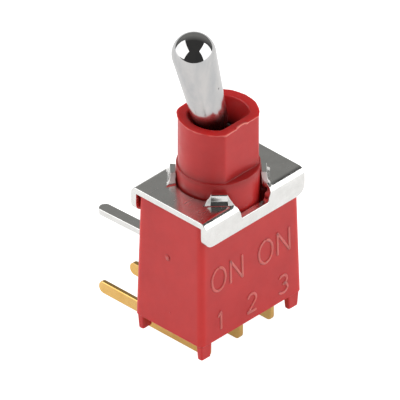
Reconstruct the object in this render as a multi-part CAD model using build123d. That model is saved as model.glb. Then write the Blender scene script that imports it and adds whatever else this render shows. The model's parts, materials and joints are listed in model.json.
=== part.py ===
from build123d import *
import os
from math import cos, radians, sin, sqrt, tan

# Sealed sub-miniature toggle switch for a board that stands behind it, in millimetres.
# X: the way the lever switches. Y: towards the board. Z: up, along the bushing.
# The origin is on the bushing axis, level with the lower edges of the terminals, which it stands on.

# terminals: flat blades stamped from one sheet
terminal_pitch = 2.54
blade_thickness = 0.29
terminal_drop = 1.64          # from the housing's underside down to the terminals' lower edge
shank_gap = 0.05              # from the cavity's front wall to each shank
shank_width = 0.95
corner_radius = 0.34
crook_radius = 0.20
pin_height = 0.78
pin_centre = 0.92             # height of the pin's middle above the terminals' lower edge
pin_reach = 3.78              # from the board face to the tip
pin_tip_radius = 0.36

# housing: body, feet, collar and bushing in one moulding
body_width_base = 8.20
body_width_top = 7.90
body_depth_base = 5.25
body_depth_top = 4.90
body_height = 8.18
body_edge_radius = 0.30
body_rim_chamfer = 0.14
body_shoulder_radius = 0.12
wall = 0.60
ceiling = 0.92
collar_radius = 2.385
collar_rise = 1.10            # above the bracket's top face
bushing_radius = 2.29
bushing_flat = 1.855          # from the axis to each flat
bushing_rise = 4.33           # above the bracket's top face
flash_rise = 0.09
flash_proud = 0.055
foot_length = 0.93
foot_depth = 0.46
foot_height = 0.90
foot_inset = 0.06
foot_taper = 0.08
gate_mark_radius = 0.17
gate_mark_rise = 0.07
gate_mark_drop = 3.16         # from the body's top face

# support bracket: one folded sheet
sheet = 0.40
bracket_width = 8.04
front_gap = 0.04              # from the body's top edge to the front flange
back_gap = 0.12               # from the body's top edge to the back flange
flange_height = 1.67
bend_radius = 0.05            # inside
flange_corner_radius = 0.60
collar_gap = 0.11
notch_width = 2.18
notch_flare = 0.25
notch_depth = 0.81            # from the plate's top face
lug_width = 0.94
lug_rise = 0.55
lug_sheet = 0.30
lug_bend_radius = 0.26
lug_clearance = 0.02
lug_base_spread = 0.34
lug_flat_margin = 0.03        # kept between the lugs and the start of each bend
leg_width = 0.74
leg_reach = 4.00              # from the board face to the tip
leg_row_gap = 5.20            # from the pins' middle up to the legs' middle
leg_bend_radius = 0.20

# lever: a turned bat on a pivot ball
lever_tilt = 14.8             # each side of upright
pivot_depth = 2.43            # below the bushing's top
bat_length = 7.76             # from the pivot to the centre of the bat's end
bat_end_radius = 1.27
bat_taper = 3.0
neck_radius = 0.85
neck_top = 2.10
neck_shoulder = 0.20
ball_radius = 1.36
ball_clearance = 0.06
stem_length = 4.60
stem_chamfer = 0.10
stem_bore_radius = 0.55
bore_end = 0.75               # from the pivot to the bore's blind end
throat_half_width = 1.25
throat_half_depth = 0.95
mouth_radius = 1.74
mouth_flat = 1.32
mouth_chamfer = 0.10
lever_gap = 0.06              # beside the swinging stem

# cross pin and sealing ring
pivot_pin_radius = 0.30
pivot_pin_grip = 0.22         # how far each end sits in its slot
pin_slot_clearance = 0.03
seal_ring_radius = 1.32
seal_cord_radius = 0.18
seal_cord_sides = 8           # enough to look round
seal_clearance = 0.02

# plunger and spring in the lever's bore
plunger_clearance = 0.03
plunger_arm = 5.76            # from the pivot to the centre of the plunger's rounded tip
plunger_tip_radius = 0.40
plunger_guide = 1.70          # length of the full-diameter part
plunger_stroke = 0.30
spring_wire_radius = 0.06
spring_clearance = 0.07
spring_turns = 4

# rocker contact on the common terminal's rounded edge
fulcrum_depth = 6.50          # from the lever's pivot down to the rocker's
rocker_tilt = 8.0
rocker_sheet = 0.25
rocker_width = 1.80
rocker_end_gap = 0.40         # from each end to the cavity's wall, when level
rocker_wing_level = 0.92      # top of the wings above the rocker's pivot
rocker_play = 0.02
fulcrum_clearance = 0.025
contact_radius = 0.40
contact_rise = 0.12
contact_bevel = 0.06          # height of the sloping rim round each moving contact's face
contact_gap = 0.015
fixed_contact_radius = 0.42

# contact carriers inside the base
head_width = 1.40
common_head_width = 2.44
ear_width = 0.26
ear_rise = 0.50
pad_gap = 0.01                # from each pad's end to the cavity's wall
pad_bend_radius = 0.10
bar_height = 0.60
bar_lift = 0.95               # from the housing's underside up to the carriers' cross bar

# base block and poured seal
base_clearance = 0.02
base_height = 1.55
seal_depth = 0.55
seal_recess = 0.08

overrun = 1.0                 # how far a cutting shape runs past what it cuts

# levels and places that follow
underside = terminal_drop
body_top = underside + body_height
plate_top = body_top + sheet
collar_top = plate_top + collar_rise
bushing_top = plate_top + bushing_rise
pivot_level = bushing_top - pivot_depth
fulcrum_level = pivot_level - fulcrum_depth
cavity_top = body_top - ceiling
cavity_width = body_width_top - 2 * wall
cavity_depth = body_depth_top - 2 * wall
terminal_front = cavity_depth / 2 - shank_gap
rocker_half_length = cavity_width / 2 - rocker_end_gap
pad_length = cavity_width / 2 - terminal_pitch - pad_gap
bracket_front = -body_depth_top / 2 - front_gap - sheet
board_face = body_depth_top / 2 + back_gap + sheet
bracket_depth = board_face - bracket_front
leg_level = pin_centre + leg_row_gap
bore_radius = ball_radius + ball_clearance
seal_level = sqrt((ball_radius + seal_clearance + seal_cord_radius) ** 2 - seal_ring_radius ** 2)
throat_level = seal_level + seal_cord_radius
lever_place = Pos(0, 0, pivot_level) * Rot(0, -lever_tilt, 0)
rocker_place = Pos(0, 0, fulcrum_level) * Rot(0, rocker_tilt, 0)


def side_plate(points, radii, half_width):
    """A closed outline in the XZ plane, rounded at its corners and given a width along Y."""
    outline = FilletPolyline(*points, radius=radii, close=True)
    return extrude(Plane.XZ * make_face(outline), half_width, both=True)


def end_plate(points, radii, half_width):
    """A closed outline in the YZ plane, rounded at its corners and given a width along X."""
    outline = FilletPolyline(*points, radius=radii, close=True)
    return extrude(Plane.YZ * make_face(outline), half_width, both=True)


def turned(points):
    """A solid turned about Z from (radius, height) points that start and end on the axis."""
    return revolve(Plane.XZ * make_face(Polyline(*points, close=True)), Axis.Z)


def corners(width, depth):
    return [(x, y) for x in (-width / 2, width / 2) for y in (-depth / 2, depth / 2)]


# ---- housing ----

def body_block():
    base = Pos(0, 0, underside) * RectangleRounded(body_width_base, body_depth_base, body_edge_radius)
    top = Pos(0, 0, body_top) * RectangleRounded(body_width_top, body_depth_top, body_edge_radius)
    block = loft([base, top], ruled=True)
    block = fillet(block.edges().group_by(Axis.Z)[-1], body_shoulder_radius)
    return chamfer(block.edges().group_by(Axis.Z)[0], body_rim_chamfer)


def feet():
    plan = RectangleRounded(
        body_width_base - 2 * foot_inset, body_depth_base - 2 * foot_inset, body_edge_radius
    )
    corner_round = Pos(0, 0, underside - foot_height) * extrude(plan, foot_height + body_rim_chamfer)
    legs = []
    for x, y in corners(body_width_base, body_depth_base):
        side = 1 if x > 0 else -1
        face = 1 if y > 0 else -1
        cx = x - side * (foot_inset + foot_length / 2)
        cy = y - face * (foot_inset + foot_depth / 2)
        top = Pos(cx, cy, underside + body_rim_chamfer) * Rectangle(foot_length, foot_depth)
        low_length = foot_length - 2 * foot_taper
        low_depth = foot_depth - foot_taper
        low = Pos(cx, cy, underside - foot_height) * Rectangle(low_length, low_depth)
        leg = loft([low, top], ruled=True)
        leg = chamfer(leg.edges().group_by(Axis.Z)[0], foot_taper)
        legs.append(leg & corner_round)
    return legs


def flatted(radius, flat, low, high):
    """A round bar with two flats facing +Y and -Y."""
    bar = Pos(0, 0, low) * extrude(Circle(radius), high - low)
    keep = Pos(0, 0, low) * extrude(Rectangle(2 * radius + overrun, 2 * flat), high - low)
    return bar & keep


def bushing():
    collar = Pos(0, 0, body_top - wall) * extrude(Circle(collar_radius), collar_top - body_top + wall)
    post = flatted(bushing_radius, bushing_flat, body_top, bushing_top)
    lip_radius = bushing_radius + flash_proud
    lip = flatted(lip_radius, bushing_flat + flash_proud, bushing_top - flash_rise, bushing_top)
    return [collar, post, lip]


def mouth():
    """The funnel above the sealing ring: a cone between two sloping cheeks."""
    low = pivot_level + throat_level
    cone = Pos(0, 0, (low + bushing_top) / 2) * Cone(throat_half_width, mouth_radius, bushing_top - low)
    cheeks = end_plate(
        [(-throat_half_depth, low), (throat_half_depth, low), (mouth_flat, bushing_top), (-mouth_flat, bushing_top)],
        [0, 0, 0, 0],
        mouth_radius + overrun,
    )
    edge_top = mouth_radius + mouth_chamfer
    lead_cone = Pos(0, 0, bushing_top - mouth_chamfer / 2) * Cone(mouth_radius, edge_top, mouth_chamfer)
    lead_flat = mouth_flat + mouth_chamfer
    lead_cheeks = end_plate(
        [
            (-mouth_flat, bushing_top - mouth_chamfer),
            (mouth_flat, bushing_top - mouth_chamfer),
            (lead_flat, bushing_top),
            (-lead_flat, bushing_top),
        ],
        [0, 0, 0, 0],
        edge_top + overrun,
    )
    return [cone & cheeks, lead_cone & lead_cheeks]


def lever_well():
    """Ball bore, ring groove, swing slot for the stem and the cross pin's slots."""
    ball_top = pivot_level + seal_level - seal_cord_radius - seal_clearance
    bore = Pos(0, 0, cavity_top) * extrude(Circle(bore_radius), ball_top - cavity_top)
    groove_radius = seal_ring_radius + seal_cord_radius
    groove_height = pivot_level + throat_level - ball_top
    groove = Pos(0, 0, ball_top) * extrude(Circle(groove_radius), groove_height)
    swing = radians(lever_tilt)
    slot_top = pivot_level - ball_radius
    top_reach = (pivot_level - slot_top) * tan(swing) + neck_radius / cos(swing) + lever_gap
    low_reach = (pivot_level - cavity_top) * tan(swing) + neck_radius / cos(swing) + lever_gap
    swing_slot = side_plate(
        [(-low_reach, cavity_top), (low_reach, cavity_top), (top_reach, slot_top), (-top_reach, slot_top)],
        [0, 0, 0, 0],
        neck_radius + lever_gap,
    )
    slot_radius = pivot_pin_radius + pin_slot_clearance
    slot_reach = bore_radius + pivot_pin_grip + pin_slot_clearance
    pin_slot = Pos(0, 0, (cavity_top + pivot_level) / 2) * Box(
        2 * slot_radius, 2 * slot_reach, pivot_level - cavity_top
    )
    pin_seat = Pos(0, 0, pivot_level) * Rot(90, 0, 0) * Cylinder(slot_radius, 2 * slot_reach)
    return [bore, groove, swing_slot, pin_slot, pin_seat]


def cavity():
    room = Pos(0, 0, underside) * Rectangle(cavity_width, cavity_depth)
    return extrude(room, cavity_top - underside)


def gate_mark():
    level = body_top - gate_mark_drop
    share = gate_mark_drop / body_height
    face = -(body_width_top + (body_width_base - body_width_top) * share) / 2
    mark = Cone(gate_mark_radius, gate_mark_radius / 3, gate_mark_rise + wall / 4)
    return Pos(face - (gate_mark_rise - wall / 4) / 2, 0, level) * Rot(0, -90, 0) * mark


def make_housing():
    shell = body_block() + feet() + bushing() + gate_mark()
    return shell - [cavity()] - lever_well() - mouth()


# ---- support bracket ----

def bracket_fold():
    """Top plate with a flange folded down in front and behind, as one bent strip."""
    low = plate_top - flange_height
    outer_bend = bend_radius + sheet
    strip = end_plate(
        [
            (bracket_front, low),
            (bracket_front + sheet, low),
            (bracket_front + sheet, body_top),
            (board_face - sheet, body_top),
            (board_face - sheet, low),
            (board_face, low),
            (board_face, plate_top),
            (bracket_front, plate_top),
        ],
        [0, 0, bend_radius, bend_radius, 0, 0, outer_bend, outer_bend],
        bracket_width / 2,
    )
    outline = Pos(0, 0, (low + plate_top) / 2 + flange_corner_radius / 2) * extrude(
        Plane.XZ * RectangleRounded(bracket_width, flange_height + flange_corner_radius, flange_corner_radius),
        bracket_depth,
        both=True,
    )
    square_top = Pos(0, 0, plate_top) * Box(
        bracket_width, 2 * bracket_depth, 2 * (flange_height - flange_corner_radius)
    )
    return strip & (outline + square_top)


def collar_hole():
    return Pos(0, 0, body_top) * extrude(Circle(collar_radius + collar_gap), sheet)


def bend_notch():
    """Where the collar's hole breaks out through both bends, with its sides leaning outwards."""
    low = plate_top - notch_depth
    half = notch_width / 2
    wide = half + notch_flare
    high = plate_top + lug_rise
    return side_plate(
        [(-half, low), (half, low), (wide, plate_top), (wide, high), (-wide, high), (-wide, plate_top)],
        [sheet / 3, sheet / 3, 0, 0, 0, 0],
        bracket_depth,
    )


def grip_lug():
    """A tab of the plate turned up against the collar, with a spreading root."""
    face = collar_radius + lug_clearance
    back = face + lug_sheet
    outer = face + collar_gap + lug_sheet + 2 * lug_bend_radius
    profile = FilletPolyline(
        (face, body_top),
        (outer, body_top),
        (outer, plate_top),
        (back, plate_top),
        (back, plate_top + lug_rise),
        (face, plate_top + lug_rise),
        radius=[lug_bend_radius, 0, 0, lug_bend_radius, lug_sheet / 4, lug_sheet / 4],
        close=True,
    )
    root = lug_width / 2 + lug_base_spread
    tab = extrude(Plane.XZ * make_face(profile), root, both=True)
    shape = FilletPolyline(
        (-root, body_top),
        (root, body_top),
        (root, plate_top),
        (lug_width / 2, plate_top + lug_base_spread),
        (lug_width / 2, plate_top + lug_rise),
        (-lug_width / 2, plate_top + lug_rise),
        (-lug_width / 2, plate_top + lug_base_spread),
        (-root, plate_top),
        radius=[0, 0, lug_base_spread / 2, lug_base_spread / 3, 0, 0, lug_base_spread / 3, lug_base_spread / 2],
        close=True,
    )
    cutter = Pos(outer, 0, 0) * extrude(Plane.YZ * make_face(shape), outer - overrun, both=True)
    return tab & cutter


def board_leg(x):
    """A strip that hangs from the back flange and turns out to the board."""
    face = board_face
    low = leg_level - sheet / 2
    tip = board_face + leg_reach
    strip = end_plate(
        [
            (face - sheet, low),
            (tip, low),
            (tip, low + sheet),
            (face, low + sheet),
            (face, plate_top - flange_height + flange_corner_radius),
            (face - sheet, plate_top - flange_height + flange_corner_radius),
        ],
        [leg_bend_radius + sheet, 0, 0, leg_bend_radius, 0, 0],
        leg_width / 2,
    )
    tip_round = leg_width / 2
    length = tip - face + sheet + 2 * tip_round
    rounding = Pos(0, tip - length / 2, 0) * extrude(SlotOverall(length, leg_width, rotation=90), plate_top)
    return Pos(x, 0, 0) * (strip & rounding)


def make_bracket():
    flat_front = bracket_front + bend_radius + sheet + lug_flat_margin
    flat_back = board_face - bend_radius - sheet - lug_flat_margin
    flat = Pos(0, (flat_front + flat_back) / 2, plate_top) * Box(bracket_width, flat_back - flat_front, 4 * sheet)
    lug = grip_lug()
    lugs = [(Rot(0, 0, 45 + 90 * i) * lug) & flat for i in range(4)]
    legs = [board_leg(x) for x in (-terminal_pitch, terminal_pitch)]
    return bracket_fold() - collar_hole() + lugs - bend_notch() + legs


# ---- lever group ----

def make_lever():
    slope = radians(bat_taper)
    ball_join = sqrt(ball_radius ** 2 - neck_radius ** 2)
    cone_top = bat_length - bat_end_radius * sin(slope)
    cone_radius = bat_end_radius * cos(slope)
    shoulder_top = neck_top + neck_shoulder
    shoulder_radius = cone_radius - (cone_top - shoulder_top) * tan(slope)
    outline = [
        Line((0, -stem_length), (neck_radius - stem_chamfer, -stem_length)),
        Line((neck_radius - stem_chamfer, -stem_length), (neck_radius, -stem_length + stem_chamfer)),
        Line((neck_radius, -stem_length + stem_chamfer), (neck_radius, -ball_join)),
        ThreePointArc((neck_radius, -ball_join), (ball_radius, 0), (neck_radius, ball_join)),
        Line((neck_radius, ball_join), (neck_radius, neck_top)),
        Line((neck_radius, neck_top), (shoulder_radius, shoulder_top)),
        Line((shoulder_radius, shoulder_top), (cone_radius, cone_top)),
        ThreePointArc(
            (cone_radius, cone_top),
            (bat_end_radius * sin(radians(45)), bat_length + bat_end_radius * cos(radians(45))),
            (0, bat_length + bat_end_radius),
        ),
        Line((0, bat_length + bat_end_radius), (0, -stem_length)),
    ]
    bat = revolve(Plane.XZ * make_face(outline), Axis.Z)
    bore = Pos(0, 0, -stem_length) * extrude(Circle(stem_bore_radius), stem_length - bore_end)
    pin_hole = Rot(90, 0, 0) * Cylinder(pivot_pin_radius, 2 * ball_radius + overrun)
    return lever_place * (bat - bore - pin_hole)


def make_pivot_pin():
    pin = Cylinder(pivot_pin_radius, 2 * (bore_radius + pivot_pin_grip))
    pin = chamfer(pin.edges().filter_by(GeomType.CIRCLE), pivot_pin_radius / 6)
    return lever_place * Rot(90, 0, 0) * pin


def make_seal_ring():
    cord = Pos(seal_ring_radius, pivot_level + seal_level) * RegularPolygon(seal_cord_radius, seal_cord_sides)
    return revolve(Plane.XZ * cord, Axis.Z)


def plunger_top():
    return -plunger_arm + plunger_tip_radius + plunger_guide


def make_plunger():
    guide = stem_bore_radius - plunger_clearance
    tip = plunger_tip_radius
    low = plunger_top() - plunger_guide
    outline = [
        Line((0, plunger_top()), (guide, plunger_top())),
        Line((guide, plunger_top()), (guide, low + guide)),
        Line((guide, low + guide), (tip, low + guide / 2)),
        Line((tip, low + guide / 2), (tip, -plunger_arm)),
        ThreePointArc(
            (tip, -plunger_arm),
            (tip * sin(radians(45)), -plunger_arm - tip * cos(radians(45))),
            (0, -plunger_arm - tip),
        ),
        Line((0, -plunger_arm - tip), (0, plunger_top())),
    ]
    return lever_place * revolve(Plane.XZ * make_face(outline), Axis.Z)


def make_plunger_spring():
    low = plunger_top() + spring_wire_radius
    height = -bore_end - spring_wire_radius - low
    coil_radius = stem_bore_radius - spring_clearance - spring_wire_radius
    path = Helix(height / spring_turns, height, coil_radius)
    start = Plane(origin=path @ 0, z_dir=path % 0)
    wire = RegularPolygon(spring_wire_radius, 6)   # six-sided, so that the helix stays light
    coil = sweep(start * wire, path=path, is_frenet=True)
    return lever_place * Pos(0, 0, low) * coil


# ---- contacts ----

def dish_radius():
    """Radius of the path that the plunger's tip follows across the rocker."""
    lever = radians(lever_tilt)
    rocker = radians(rocker_tilt)
    side = plunger_arm * sin(lever)
    height = fulcrum_depth - plunger_arm * cos(lever)
    across = side * cos(rocker) - height * sin(rocker)
    rise = side * sin(rocker) + height * cos(rocker) - (fulcrum_depth - plunger_arm)
    return (across ** 2 + rise ** 2) / (2 * rise)


def dish_half_width(radius, centre, level):
    return sqrt(radius ** 2 - (centre - level) ** 2)


def make_rocker():
    """A dished strip with a flat wing each side and a pivot groove across its underside."""
    path_radius = dish_radius()
    centre = fulcrum_depth - plunger_arm + path_radius
    top_radius = path_radius + plunger_tip_radius + rocker_play
    low_radius = top_radius + rocker_sheet
    wing_low = rocker_wing_level - rocker_sheet
    top_x = dish_half_width(top_radius, centre, rocker_wing_level)
    low_x = dish_half_width(low_radius, centre, wing_low)
    end = rocker_half_length
    outline = [
        ThreePointArc((-top_x, rocker_wing_level), (0, centre - top_radius), (top_x, rocker_wing_level)),
        Line((top_x, rocker_wing_level), (end, rocker_wing_level)),
        Line((end, rocker_wing_level), (end, wing_low)),
        Line((end, wing_low), (low_x, wing_low)),
        ThreePointArc((low_x, wing_low), (0, centre - low_radius), (-low_x, wing_low)),
        Line((-low_x, wing_low), (-end, wing_low)),
        Line((-end, wing_low), (-end, rocker_wing_level)),
        Line((-end, rocker_wing_level), (-top_x, rocker_wing_level)),
    ]
    strip = extrude(Plane.XZ * make_face(outline), rocker_width / 2, both=True)
    groove = Rot(90, 0, 0) * Cylinder(blade_thickness / 2 + fulcrum_clearance, rocker_width + overrun)
    return rocker_place * (strip - groove)


def moving_contact_x():
    return rocker_half_length - contact_radius


def make_moving_contact(side):
    """A disc with a wide sloping rim, riveted under the rocker's wing."""
    top = rocker_wing_level - rocker_sheet
    low = top - contact_rise
    button = turned(
        [
            (0, top),
            (contact_radius, top),
            (contact_radius, low + contact_bevel),
            (contact_radius / 2, low),
            (0, low),
        ]
    )
    return rocker_place * Pos(side * moving_contact_x(), 0, 0) * button


def touch_point():
    """Where the closed contact's face comes lowest: (x, z) from the rocker's pivot."""
    tilt = radians(rocker_tilt)
    x = moving_contact_x() + contact_radius / 2
    z = rocker_wing_level - rocker_sheet - contact_rise
    return x * cos(tilt) + z * sin(tilt), z * cos(tilt) - x * sin(tilt)


def pad_top():
    return fulcrum_level + touch_point()[1] - contact_gap - contact_rise


def make_fixed_contact(side):
    x = touch_point()[0] - contact_radius / 2
    disc = Cylinder(fixed_contact_radius, contact_rise)
    disc = chamfer(disc.edges().group_by(Axis.Z)[-1], contact_rise / 4)
    return Pos(side * x, 0, pad_top() + contact_rise / 2) * disc


def blade_outline(head_half, head_top):
    """The L-shaped blade in the YZ plane: shank, shoulder and pin below, cross bar and head above."""
    bar_low = underside + bar_lift
    bar_top = bar_low + bar_height
    back = -terminal_front + shank_width
    pin_low = pin_centre - pin_height / 2
    pin_top = pin_centre + pin_height / 2
    tip = board_face + pin_reach
    points = [
        (-terminal_front, 0),
        (board_face, 0),
        (board_face, pin_low),
        (tip, pin_low),
        (tip, pin_top),
        (back, pin_top),
        (back, bar_low),
        (head_half, bar_low),
        (head_half, head_top),
        (-head_half, head_top),
        (-head_half, bar_top),
        (-terminal_front, bar_top),
    ]
    radii = [corner_radius, 0, 0, pin_tip_radius, pin_tip_radius, crook_radius, 0, 0, 0, 0, 0, 0]
    return points, radii


def make_side_terminal(side):
    """Outer terminal: its head is folded outwards into the pad that carries the fixed contact."""
    half = blade_thickness / 2
    points, radii = blade_outline(head_width / 2, pad_top() - 2 * blade_thickness)
    blade = end_plate(points, radii, half)
    high = pad_top()
    low = high - 2 * blade_thickness
    fold = side_plate(
        [
            (-half, low),
            (half, low),
            (half, high - blade_thickness),
            (pad_length, high - blade_thickness),
            (pad_length, high),
            (-half, high),
        ],
        [0, 0, pad_bend_radius, 0, 0, pad_bend_radius + blade_thickness],
        head_width / 2,
    )
    terminal = Pos(terminal_pitch, 0, 0) * (blade + fold)
    return terminal if side > 0 else mirror(terminal, about=Plane.YZ)


def make_common_terminal():
    """Centre terminal: a rounded edge carries the rocker, between two ears that keep it in line."""
    half = blade_thickness / 2
    points, radii = blade_outline(common_head_width / 2, fulcrum_level)
    blade = end_plate(points, radii, half)
    edge = Pos(0, 0, fulcrum_level) * Rot(90, 0, 0) * Cylinder(half, common_head_width)
    ears = []
    for face in (-1, 1):
        y = face * (common_head_width - ear_width) / 2
        ears.append(Pos(0, y, fulcrum_level + ear_rise / 2) * Box(blade_thickness, ear_width, ear_rise))
    return blade + edge + ears


# ---- base ----

def terminal_passages():
    """What the three terminals take up in the base: shank and cross bar of each."""
    back = -terminal_front + shank_width
    passages = []
    for index, head in ((-1, head_width), (0, common_head_width), (1, head_width)):
        x = index * terminal_pitch
        low = underside + bar_lift
        shank = Pos(x, (back - terminal_front) / 2, low / 2) * Box(blade_thickness, shank_width, low)
        reach = head / 2 + terminal_front
        bar = Pos(x, head / 2 - reach / 2, low + bar_height / 2) * Box(blade_thickness, reach, bar_height)
        stem = Pos(x, 0, low + bar_height) * Box(blade_thickness, head, 2 * base_height)
        passages += [shank, bar, stem]
    return passages


def make_base():
    low = underside + seal_depth
    block = Pos(0, 0, low + base_height / 2) * Box(
        cavity_width - 2 * base_clearance, cavity_depth - 2 * base_clearance, base_height
    )
    return block - terminal_passages()


def make_epoxy():
    low = underside + seal_recess
    high = underside + seal_depth
    fill = Pos(0, 0, (low + high) / 2) * Box(cavity_width, cavity_depth, high - low)
    return fill - terminal_passages()


def build_all():
    return {
        "housing": make_housing(),
        "support_bracket": make_bracket(),
        "toggle_lever": make_lever(),
        "pivot_pin": make_pivot_pin(),
        "lever_seal_ring": make_seal_ring(),
        "plunger": make_plunger(),
        "plunger_spring": make_plunger_spring(),
        "rocker_contact": make_rocker(),
        "moving_contact_left": make_moving_contact(-1),
        "moving_contact_right": make_moving_contact(1),
        "fixed_contact_left": make_fixed_contact(-1),
        "fixed_contact_right": make_fixed_contact(1),
        "terminal_left": make_side_terminal(-1),
        "common_terminal": make_common_terminal(),
        "terminal_right": make_side_terminal(1),
        "base_block": make_base(),
        "epoxy_seal": make_epoxy(),
    }


os.makedirs("parts", exist_ok=True)
for name, shape in build_all().items():
    export_step(shape, f"parts/{name}.step")
    print(name, len(shape.solids()), round(shape.volume, 4))
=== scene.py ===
import json
import math
import bpy
import bmesh
import numpy as np
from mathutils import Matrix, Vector


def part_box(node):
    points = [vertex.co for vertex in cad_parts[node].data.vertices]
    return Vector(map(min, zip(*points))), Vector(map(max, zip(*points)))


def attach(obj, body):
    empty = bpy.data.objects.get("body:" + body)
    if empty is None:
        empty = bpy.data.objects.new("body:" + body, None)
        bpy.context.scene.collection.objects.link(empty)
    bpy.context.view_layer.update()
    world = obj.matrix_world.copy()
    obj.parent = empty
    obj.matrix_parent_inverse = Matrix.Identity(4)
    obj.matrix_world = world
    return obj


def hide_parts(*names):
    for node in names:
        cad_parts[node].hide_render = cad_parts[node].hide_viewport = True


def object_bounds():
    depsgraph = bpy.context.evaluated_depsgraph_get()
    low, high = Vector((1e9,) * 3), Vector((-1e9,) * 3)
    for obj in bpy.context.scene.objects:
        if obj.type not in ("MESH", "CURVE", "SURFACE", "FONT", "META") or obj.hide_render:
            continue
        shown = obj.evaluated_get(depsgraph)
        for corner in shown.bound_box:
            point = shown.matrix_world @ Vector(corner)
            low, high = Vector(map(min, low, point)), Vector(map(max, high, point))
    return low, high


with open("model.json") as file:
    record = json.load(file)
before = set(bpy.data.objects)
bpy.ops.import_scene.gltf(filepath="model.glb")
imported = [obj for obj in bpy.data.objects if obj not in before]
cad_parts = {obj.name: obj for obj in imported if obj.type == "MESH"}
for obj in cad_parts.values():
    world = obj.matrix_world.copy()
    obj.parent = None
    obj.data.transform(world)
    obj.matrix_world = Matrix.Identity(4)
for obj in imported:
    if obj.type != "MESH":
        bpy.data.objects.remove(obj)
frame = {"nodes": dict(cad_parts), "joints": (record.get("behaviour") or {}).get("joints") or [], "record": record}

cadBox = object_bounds()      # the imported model's box, before anything is added
mm = 0.001
nodes = frame["nodes"]
joints = {joint["name"]: joint for joint in frame["joints"]}
print("frame loaded:", len(nodes), "nodes")


# places read from the frame, in millimetres

def boxOf(node):
    low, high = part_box(node)
    return np.array(low) / mm, np.array(high) / mm


def addObject(name, data):
    thing = bpy.data.objects.new(name, data)
    bpy.context.scene.collection.objects.link(thing)
    return thing


housingLow, housingHigh = boxOf("housing")
bracketLow, bracketHigh = boxOf("support_bracket")
pivot = np.array(joints["lever_pivot"]["pos_m"]) / mm
leverTilt = math.radians(joints["lever_pivot"]["range_deg"][1] / 2)


# surfaces worked out on grids

def gridFaces(rows, cols, wrapRows, wrapCols):
    # each quad joins two neighbours in a row to the same two in the next row
    index = np.arange(rows * cols).reshape(rows, cols)
    if wrapCols:
        index = np.concatenate([index, index[:, :1]], axis=1)
    if wrapRows:
        index = np.concatenate([index, index[:1]], axis=0)
    return np.stack([index[:-1, :-1], index[:-1, 1:], index[1:, 1:], index[1:, :-1]], axis=-1).reshape(-1, 4)


def weld(points, quads, reach=1e-5):
    # points that fall in the same cell are one point, and a quad with a side of no length is a triangle
    _, first, inverse = np.unique(np.round(points / reach), axis=0, return_index=True, return_inverse=True)
    quads = inverse.reshape(-1)[quads]
    a, b, c, d = quads.T
    flat = np.stack([a == b, b == c, c == d, d == a])
    whole = quads[~flat.any(axis=0)]
    single = flat.sum(axis=0) == 1
    corner = np.array([[1, 2, 3], [0, 2, 3], [0, 1, 3], [0, 1, 2]])[flat.argmax(axis=0)]
    thirds = np.take_along_axis(quads, corner, axis=1)[single]
    return points[first], whole, thirds


def enclosed(points, triangles):
    # signed volume: a sixth of the sum of the triple products, above zero when the faces point outwards
    p, q, r = points[triangles[:, 0]], points[triangles[:, 1]], points[triangles[:, 2]]
    return float((p * np.cross(q, r)).sum() / 6)


def addMesh(name, points, quads, thirds):
    # points are in millimetres; the mesh holds metres and its faces point outwards
    centred = points - points.mean(axis=0)
    halves = np.concatenate([quads[:, [0, 1, 2]], quads[:, [0, 2, 3]], thirds])
    if enclosed(centred, halves) < 0:
        quads, thirds = quads[:, ::-1], thirds[:, ::-1]
    mesh = bpy.data.meshes.new(name)
    mesh.vertices.add(len(points))
    mesh.vertices.foreach_set("co", (points * mm).astype(np.float32).ravel())
    corners = np.concatenate([quads.ravel(), thirds.ravel()])
    mesh.loops.add(len(corners))
    mesh.loops.foreach_set("vertex_index", corners.astype(np.int32))
    starts = np.concatenate([np.arange(len(quads)) * 4, len(quads) * 4 + np.arange(len(thirds)) * 3])
    mesh.polygons.add(len(starts))
    mesh.polygons.foreach_set("loop_start", starts.astype(np.int32))
    mesh.polygons.foreach_set("use_smooth", np.full(len(starts), True))
    mesh.update(calc_edges=True)
    mesh.validate()
    return addObject(name, mesh)


def addSurface(name, grid, wrapRows=False, wrapCols=True):
    rows, cols = grid.shape[:2]
    points, quads, thirds = weld(grid.reshape(-1, 3), gridFaces(rows, cols, wrapRows, wrapCols))
    return addMesh(name, points, quads, thirds)


def roundedPath(corners, radii, steps):
    # straight runs joined by arcs: each arc starts radius / tan(half the corner's angle) before its corner,
    # with one more point just outside each end, so that the shading of the runs stays flat
    hold = 0.02
    corners = [np.array(corner, float) for corner in corners]
    path = [corners[0]]
    for before, here, after, radius in zip(corners, corners[1:], corners[2:], radii):
        inward = (before - here) / np.linalg.norm(before - here)
        outward = (after - here) / np.linalg.norm(after - here)
        half = math.acos(np.clip(inward @ outward, -1, 1)) / 2
        back = radius / math.tan(half)
        middle = here + (inward + outward) / np.linalg.norm(inward + outward) * radius / math.sin(half)
        start, end = here + inward * back, here + outward * back
        turn = np.linspace(0, math.pi - 2 * half, steps)[:, None]
        first = (start - middle) / radius
        side = (end - middle) / radius - first * math.cos(math.pi - 2 * half)
        side = side / np.linalg.norm(side)
        arc = middle + radius * (first * np.cos(turn) + side * np.sin(turn))
        path += [start + inward * hold, *arc, end + outward * hold]
    return np.array(path + [corners[-1]])


def columnsWith(step, cluster):
    # angles round the whole circle in even steps, with a cluster of closer ones mirrored into each quarter
    every = np.concatenate([np.arange(0, 360, step), cluster, 180 - cluster, 180 + cluster, 360 - cluster])
    return np.radians(np.unique(np.round(every, 3)))


def rowsOver(a):
    # an empty list of rows over the angles a, and the function that adds a row of two measures to it
    rows = []

    def row(first, second):
        rows.append((first + 0 * a, second + 0 * a))
    return rows, row


def raisedRows(rows, a, centre=(0, 0)):
    # rows of (height, distance) as points: x = centre x + distance cos a, y = centre y + distance sin a
    level, distance = np.moveaxis(np.array(rows), 1, 0)
    return np.stack([centre[0] + distance * np.cos(a), centre[1] + distance * np.sin(a), level], axis=-1)


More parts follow.
